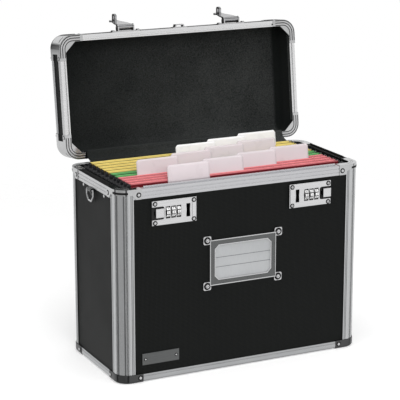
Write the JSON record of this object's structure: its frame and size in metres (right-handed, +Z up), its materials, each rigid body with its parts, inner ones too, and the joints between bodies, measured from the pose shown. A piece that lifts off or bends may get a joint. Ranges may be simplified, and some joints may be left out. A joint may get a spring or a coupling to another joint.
{
  "type": "portable file box",
  "caption": "Aluminium-framed black file box with a hinged lid standing open, number locks with hasps, side rings, a carrying handle and hanging folders that lift out.",
  "frame": {"origin": "under the middle of the case, in the plane its base caps stand on", "axes": "+X to the right of the front, +Y from the front to the hinge side, +Z up"},
  "size_m": [0.3588, 0.2429, 0.4396],
  "materials": {
    "laminate_black": "fine-grained black laminate, low gloss",
    "extruded_aluminium": "satin anodised, drawn lines along the length",
    "rail_aluminium": "satin anodised, fine cross-brushing",
    "pressed_steel": "polished nickel plate",
    "dark_chrome": "smoked nickel plate",
    "bright_chrome": "bright plate",
    "lock_metal": "fine satin",
    "lock_black": "moulded black",
    "dial_white": "moulded, dark figures",
    "lining_fabric": "short-pile charcoal lining",
    "hinge_steel": "rolled steel",
    "hook_plastic": "moulded black",
    "card_grey": "matt card with two ruled lines",
    "folder_yellow": "coloured card, matt",
    "folder_green": "coloured card, matt",
    "folder_red": "coloured card, matt",
    "tab_clear": "clear tab with a white slip",
    "grip_black": "moulded grip on wire arms"
  },
  "bodies": {
    "case": {"front_panel": "laminate_black", "back_panel": "laminate_black", "left_panel": "laminate_black", "right_panel": "laminate_black", "bottom_panel": "laminate_black", "post_front_left": "extruded_aluminium", "post_front_right": "extruded_aluminium", "post_back_left": "extruded_aluminium", "post_back_right": "extruded_aluminium", "rim_rail_front": "rail_aluminium", "rim_rail_back": "rail_aluminium", "rim_rail_left": "rail_aluminium", "rim_rail_right": "rail_aluminium", "base_rails": "extruded_aluminium", "rim_corner_caps": "pressed_steel", "base_corner_caps": "dark_chrome", "case_rivets": "bright_chrome", "case_lining": "lining_fabric", "file_rails": "hook_plastic", "hinge_case_leaf": "hinge_steel", "hinge_pin": "hinge_steel", "lock_plates": "lock_metal", "lock_cases": "lock_black", "face_screws": "bright_chrome", "label_frame": "bright_chrome", "label_card": "card_grey", "nameplate": "lock_metal", "ring_clips": "bright_chrome"},
    "lid": {"lid_top_panel": "laminate_black", "lid_front_wall": "laminate_black", "lid_back_wall": "laminate_black", "lid_end_walls": "laminate_black", "lid_rim_rails": "rail_aluminium", "lid_edge_rails": "extruded_aluminium", "lid_corner_caps": "pressed_steel", "lid_rivets": "bright_chrome", "lid_lining": "lining_fabric", "hinge_cover": "lining_fabric", "hinge_lid_leaf": "hinge_steel", "hasp_bases": "bright_chrome", "lid_pull": "bright_chrome", "handle_brackets": "bright_chrome"},
    "files": {"folders_yellow": "folder_yellow", "folders_green": "folder_green", "folders_red": "folder_red", "folder_hooks": "hook_plastic", "folder_tabs": "tab_clear"},
    "handle": {"handle": "grip_black"},
    "hasp_left": {"hasp_left": "bright_chrome"},
    "hasp_right": {"hasp_right": "bright_chrome"},
    "lock_button_left": {"lock_button_left": "lock_metal"},
    "lock_button_right": {"lock_button_right": "lock_metal"},
    "ring_left": {"ring_left": "bright_chrome"},
    "ring_right": {"ring_right": "bright_chrome"},
    "dial_left_1": {"dial_left_1": "dial_white"},
    "dial_left_2": {"dial_left_2": "dial_white"},
    "dial_left_3": {"dial_left_3": "dial_white"},
    "dial_right_1": {"dial_right_1": "dial_white"},
    "dial_right_2": {"dial_right_2": "dial_white"},
    "dial_right_3": {"dial_right_3": "dial_white"}
  },
  "joints": [
    {"name": "lid_hinge", "type": "hinge", "parent": "case", "child": "lid", "pos_m": [0, 0.0855, 0.25575], "axis": [-1, 0, 0], "range_deg": [-97, 0]},
    {"name": "files_lift", "type": "slide", "parent": "case", "child": "files", "axis": [0, 0, 1], "range_m": [0, 0.26]},
    {"name": "dial_left_1_turn", "type": "hinge", "parent": "case", "child": "dial_left_1", "pos_m": [-0.107, -0.0772, 0.2215], "axis": [1, 0, 0], "continuous": true},
    {"name": "dial_left_2_turn", "type": "hinge", "parent": "case", "child": "dial_left_2", "pos_m": [-0.0995, -0.0772, 0.2215], "axis": [1, 0, 0], "continuous": true},
    {"name": "dial_left_3_turn", "type": "hinge", "parent": "case", "child": "dial_left_3", "pos_m": [-0.092, -0.0772, 0.2215], "axis": [1, 0, 0], "continuous": true},
    {"name": "lock_button_left_slide", "type": "slide", "parent": "case", "child": "lock_button_left", "axis": [-1, 0, 0], "range_m": [0, 0.004], "stiffness_N_per_m": 150},
    {"name": "ring_left_swing", "type": "hinge", "parent": "case", "child": "ring_left", "pos_m": [-0.1768, 0.003, 0.239], "axis": [0, 1, 0], "range_deg": [0, 150]},
    {"name": "hasp_left_flip", "type": "hinge", "parent": "lid", "child": "hasp_left", "pos_m": [-0.0788, 0.11136, 0.42738], "axis": [-1, 0, 0], "range_deg": [-173, 7]},
    {"name": "dial_right_1_turn", "type": "hinge", "parent": "case", "child": "dial_right_1", "pos_m": [0.092, -0.0772, 0.2215], "axis": [1, 0, 0], "continuous": true},
    {"name": "dial_right_2_turn", "type": "hinge", "parent": "case", "child": "dial_right_2", "pos_m": [0.0995, -0.0772, 0.2215], "axis": [1, 0, 0], "continuous": true},
    {"name": "dial_right_3_turn", "type": "hinge", "parent": "case", "child": "dial_right_3", "pos_m": [0.107, -0.0772, 0.2215], "axis": [1, 0, 0], "continuous": true},
    {"name": "lock_button_right_slide", "type": "slide", "parent": "case", "child": "lock_button_right", "axis": [-1, 0, 0], "range_m": [0, 0.004], "stiffness_N_per_m": 150},
    {"name": "ring_right_swing", "type": "hinge", "parent": "case", "child": "ring_right", "pos_m": [0.1768, 0.003, 0.239], "axis": [0, -1, 0], "range_deg": [0, 150]},
    {"name": "hasp_right_flip", "type": "hinge", "parent": "lid", "child": "hasp_right", "pos_m": [0.0788, 0.11136, 0.42738], "axis": [-1, 0, 0], "range_deg": [-173, 7]},
    {"name": "handle_swing", "type": "hinge", "parent": "lid", "child": "handle", "pos_m": [0, 0.15175, 0.33376], "axis": [1, 0, 0], "range_deg": [-6, 170]}
  ]
}
